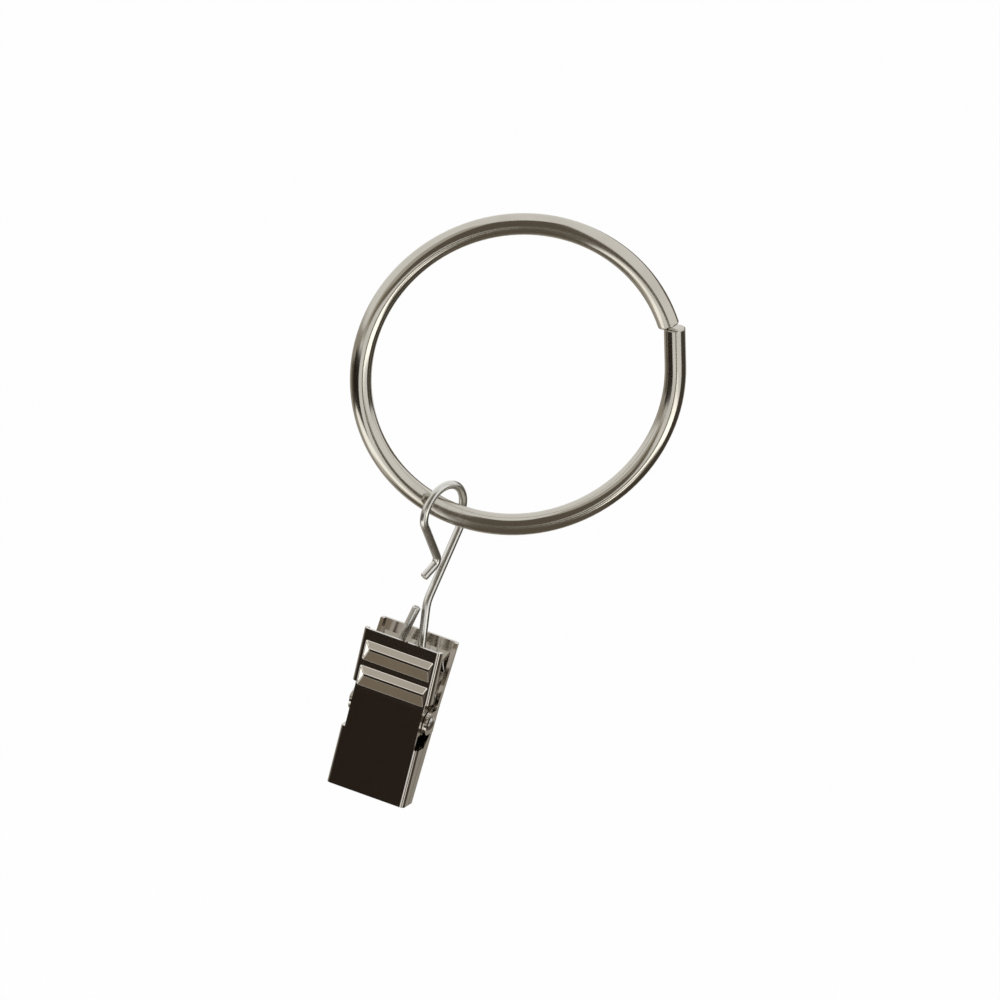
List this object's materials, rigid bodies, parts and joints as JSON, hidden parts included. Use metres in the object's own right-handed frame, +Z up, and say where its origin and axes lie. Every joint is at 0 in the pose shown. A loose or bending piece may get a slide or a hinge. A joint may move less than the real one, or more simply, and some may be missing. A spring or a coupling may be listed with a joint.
{
  "type": "curtain ring with clip",
  "caption": "Round wire curtain ring for a rod, with a sprung two-jaw clip hanging from it on a bent wire hook.",
  "frame": {"origin": "centre of the ring, on the axis of the rod that it hangs from", "axes": "+Z up, +Y along the rod and the ring's axis, the ring lying in the XZ plane, the clip hanging below"},
  "size_m": [0.0436, 0.0114, 0.0811],
  "materials": {
    "ring_nickel": "polished nickel plate",
    "hook_nickel": "bright nickel plate",
    "jaw_nickel": "mirror nickel plate",
    "pin_steel": "plain steel rivet",
    "spring_steel": "drawn spring wire"
  },
  "bodies": {
    "ring": {"ring": "ring_nickel"},
    "hook": {"wire_hook": "hook_nickel"},
    "hinge": {"pivot_pin": "pin_steel", "spring": "spring_steel"},
    "front_jaw": {"front_jaw": "jaw_nickel"},
    "rear_jaw": {"rear_jaw": "jaw_nickel"}
  },
  "joints": [
    {"name": "hook_swing", "type": "hinge", "parent": "ring", "child": "hook", "pos_m": [-0.00449, 0, -0.0199], "axis": [0.9755, 0, -0.2198], "range_deg": [-90, 90]},
    {"name": "clip_swing", "type": "hinge", "parent": "hook", "child": "hinge", "pos_m": [-0.00449, 0, -0.0464], "axis": [0.8988, -0.4384, 0], "range_deg": [-5, 5]},
    {"name": "front_jaw_open", "type": "hinge", "parent": "hinge", "child": "front_jaw", "pos_m": [-0.00449, 0, -0.0478], "axis": [-0.8988, 0.4384, 0], "range_deg": [0, 9], "stiffness_Nm_per_rad": 0.02, "springref_deg": -22.92, "deforming": ["spring"]},
    {"name": "rear_jaw_open", "type": "hinge", "parent": "hinge", "child": "rear_jaw", "pos_m": [-0.00449, 0, -0.0478], "axis": [0.8988, -0.4384, 0], "range_deg": [0, 9], "deforming": ["spring"]}
  ],
  "couplings": [
    {"joint": "rear_jaw_open", "follows": "front_jaw_open", "ratio": 1}
  ]
}
